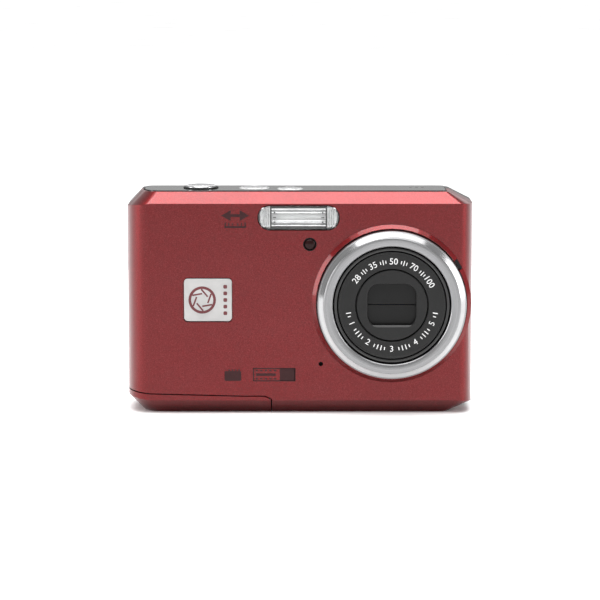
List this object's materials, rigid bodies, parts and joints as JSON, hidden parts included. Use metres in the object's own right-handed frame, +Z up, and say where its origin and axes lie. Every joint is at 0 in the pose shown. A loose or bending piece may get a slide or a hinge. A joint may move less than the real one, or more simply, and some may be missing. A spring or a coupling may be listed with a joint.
{
  "type": "compact digital camera",
  "caption": "Compact digital camera with a retracting zoom lens, sliding and hinged battery door, sprung top and rear keys, flash window and tripod socket.",
  "frame": {"origin": "middle of the base plane of the bounding box", "axes": "+X to the right seen from the front, +Y from the lens towards the display, +Z up"},
  "size_m": [0.0914, 0.0268, 0.0596],
  "materials": {
    "case_red": "metallic red lacquer, satin gloss",
    "case_black": "fine matte dark plastic",
    "gloss_black": "dark glossy plastic",
    "dark_metal": "dark anodised, satin",
    "ring_metal": "satin turned aluminium with polished edges",
    "chrome": "bright plated",
    "steel": "plain sheet steel",
    "brass": "plain brass",
    "print_pale": "pale satin inlay",
    "clear": "clear moulded window",
    "lens_glass": "coated glass",
    "lamp_red": "dark tinted lens",
    "inner_black": "black moulded plastic",
    "board_green": "solder resist",
    "cell_sleeve": "printed sleeve without text",
    "screen_glass": "dark display window",
    "gear_plastic": "natural acetal"
  },
  "bodies": {
    "root": {"front_cover": "case_red", "rear_cover": "case_black", "top_plate": "gloss_black", "strap_lug": "dark_metal", "name_plate": "print_pale", "case_screw_1": "steel", "case_screw_2": "steel", "battery_box": "inner_black", "aa_cell_1": "cell_sleeve", "aa_cell_2": "cell_sleeve", "terminal_plus": "brass", "terminal_minus": "brass", "top_switch_board": "board_green", "speaker": "inner_black", "flash_window": "clear", "flash_reflector": "chrome", "flash_tube": "clear", "flash_capacitor": "gloss_black", "lamp_lens": "lamp_red", "microphone": "steel", "lens_ring": "ring_metal", "lens_base": "inner_black", "lens_motor": "steel", "image_sensor": "screen_glass", "lcd_window": "screen_glass", "lcd_panel": "screen_glass", "lcd_bracket": "steel", "rear_key_board": "board_green", "main_frame": "steel", "main_board": "board_green", "sd_card_slot": "steel", "usb_socket": "steel", "tripod_socket": "brass"},
    "door_carriage": {"door_slide_bracket": "steel", "door_hinge_pin": "steel"},
    "battery_door": {"battery_door": "case_red", "door_contact": "brass"},
    "side_cover": {"side_cover": "case_black"},
    "shutter_button": {"shutter_button": "chrome"},
    "power_button": {"power_button": "chrome"},
    "mode_button": {"mode_button": "chrome"},
    "zoom_rocker": {"zoom_rocker": "gloss_black"},
    "nav_carrier": {"nav_carrier": "inner_black"},
    "nav_ring": {"nav_ring": "gloss_black"},
    "set_button": {"set_button": "gloss_black"},
    "menu_button": {"menu_button": "gloss_black"},
    "play_button": {"play_button": "gloss_black"},
    "delete_button": {"delete_button": "gloss_black"},
    "cam_ring": {"cam_ring": "dark_metal"},
    "drive_gear": {"drive_gear": "gear_plastic"},
    "barrel_1": {"barrel_1": "dark_metal"},
    "barrel_2": {"barrel_2": "dark_metal", "name_ring": "dark_metal", "barrier_frame": "inner_black", "shutter_unit": "inner_black", "front_lens": "lens_glass"},
    "blade_upper": {"barrier_blade_upper": "dark_metal"},
    "blade_lower": {"barrier_blade_lower": "dark_metal"},
    "focus_group": {"focus_carrier": "inner_black", "focus_lens": "lens_glass"}
  },
  "joints": [
    {"name": "shutter_press", "type": "slide", "parent": "root", "child": "shutter_button", "axis": [0, 0, -1], "range_m": [0, 0.0006], "stiffness_N_per_m": 2000},
    {"name": "power_press", "type": "slide", "parent": "root", "child": "power_button", "axis": [0, 0, -1], "range_m": [0, 0.0004], "stiffness_N_per_m": 2500},
    {"name": "mode_press", "type": "slide", "parent": "root", "child": "mode_button", "axis": [0, 0, -1], "range_m": [0, 0.0004], "stiffness_N_per_m": 2500},
    {"name": "zoom_rock", "type": "hinge", "parent": "root", "child": "zoom_rocker", "pos_m": [-0.03027, 0.0109, 0.0485], "axis": [0, 0, 1], "range_deg": [-3, 3], "stiffness_Nm_per_rad": 0.2},
    {"name": "nav_up_down", "type": "hinge", "parent": "root", "child": "nav_carrier", "pos_m": [-0.03027, 0.01015, 0.024], "axis": [1, 0, 0], "range_deg": [-2.2, 2.2], "stiffness_Nm_per_rad": 0.3},
    {"name": "nav_left_right", "type": "hinge", "parent": "nav_carrier", "child": "nav_ring", "pos_m": [-0.03027, 0.0107, 0.024], "axis": [0, 0, 1], "range_deg": [-1.9, 1.9], "stiffness_Nm_per_rad": 0.3},
    {"name": "set_press", "type": "slide", "parent": "root", "child": "set_button", "axis": [0, -1, 0], "range_m": [0, 0.0004], "stiffness_N_per_m": 2500},
    {"name": "menu_press", "type": "slide", "parent": "root", "child": "menu_button", "axis": [0, -1, 0], "range_m": [0, 0.0004], "stiffness_N_per_m": 2500},
    {"name": "play_press", "type": "slide", "parent": "root", "child": "play_button", "axis": [0, -1, 0], "range_m": [0, 0.0004], "stiffness_N_per_m": 2500},
    {"name": "delete_press", "type": "slide", "parent": "root", "child": "delete_button", "axis": [0, -1, 0], "range_m": [0, 0.0004], "stiffness_N_per_m": 2500},
    {"name": "door_slide", "type": "slide", "parent": "root", "child": "door_carriage", "axis": [0, -1, 0], "range_m": [0, 0.0025]},
    {"name": "door_swing", "type": "hinge", "parent": "door_carriage", "child": "battery_door", "pos_m": [-0.02378, 0.00855, 0.0009], "axis": [1, 0, 0], "range_deg": [0, 90]},
    {"name": "side_cover_swing", "type": "hinge", "parent": "root", "child": "side_cover", "pos_m": [0.04512, 0.0098, 0.026], "axis": [0, 0, 1], "range_deg": [0, 95]},
    {"name": "cam_turn", "type": "hinge", "parent": "root", "child": "cam_ring", "pos_m": [0.02432, -0.0021, 0.0293], "axis": [0, -1, 0], "range_deg": [0, 60]},
    {"name": "drive_turn", "type": "hinge", "parent": "root", "child": "drive_gear", "pos_m": [0.01105, 0.0009, 0.01034], "axis": [0, -1, 0], "range_deg": [-171, 0]},
    {"name": "barrel_1_extend", "type": "slide", "parent": "root", "child": "barrel_1", "axis": [0, -1, 0], "range_m": [0, 0.011]},
    {"name": "barrel_2_extend", "type": "slide", "parent": "barrel_1", "child": "barrel_2", "axis": [0, -1, 0], "range_m": [0, 0.009]},
    {"name": "blade_upper_open", "type": "slide", "parent": "barrel_2", "child": "blade_upper", "axis": [0, 0, 1], "range_m": [0, 0.0059]},
    {"name": "blade_lower_open", "type": "slide", "parent": "barrel_2", "child": "blade_lower", "axis": [0, 0, -1], "range_m": [0, 0.0059]},
    {"name": "focus_travel", "type": "slide", "parent": "root", "child": "focus_group", "axis": [0, -1, 0], "range_m": [0, 0.0015]}
  ],
  "couplings": [
    {"joint": "cam_turn", "follows": "barrel_1_extend", "rad_per_m": 95.19},
    {"joint": "drive_turn", "follows": "barrel_1_extend", "rad_per_m": -269.7},
    {"joint": "barrel_2_extend", "follows": "barrel_1_extend", "ratio": 0.818},
    {"joint": "blade_upper_open", "follows": "barrel_1_extend", "ratio": 0.536},
    {"joint": "blade_lower_open", "follows": "barrel_1_extend", "ratio": 0.536}
  ]
}
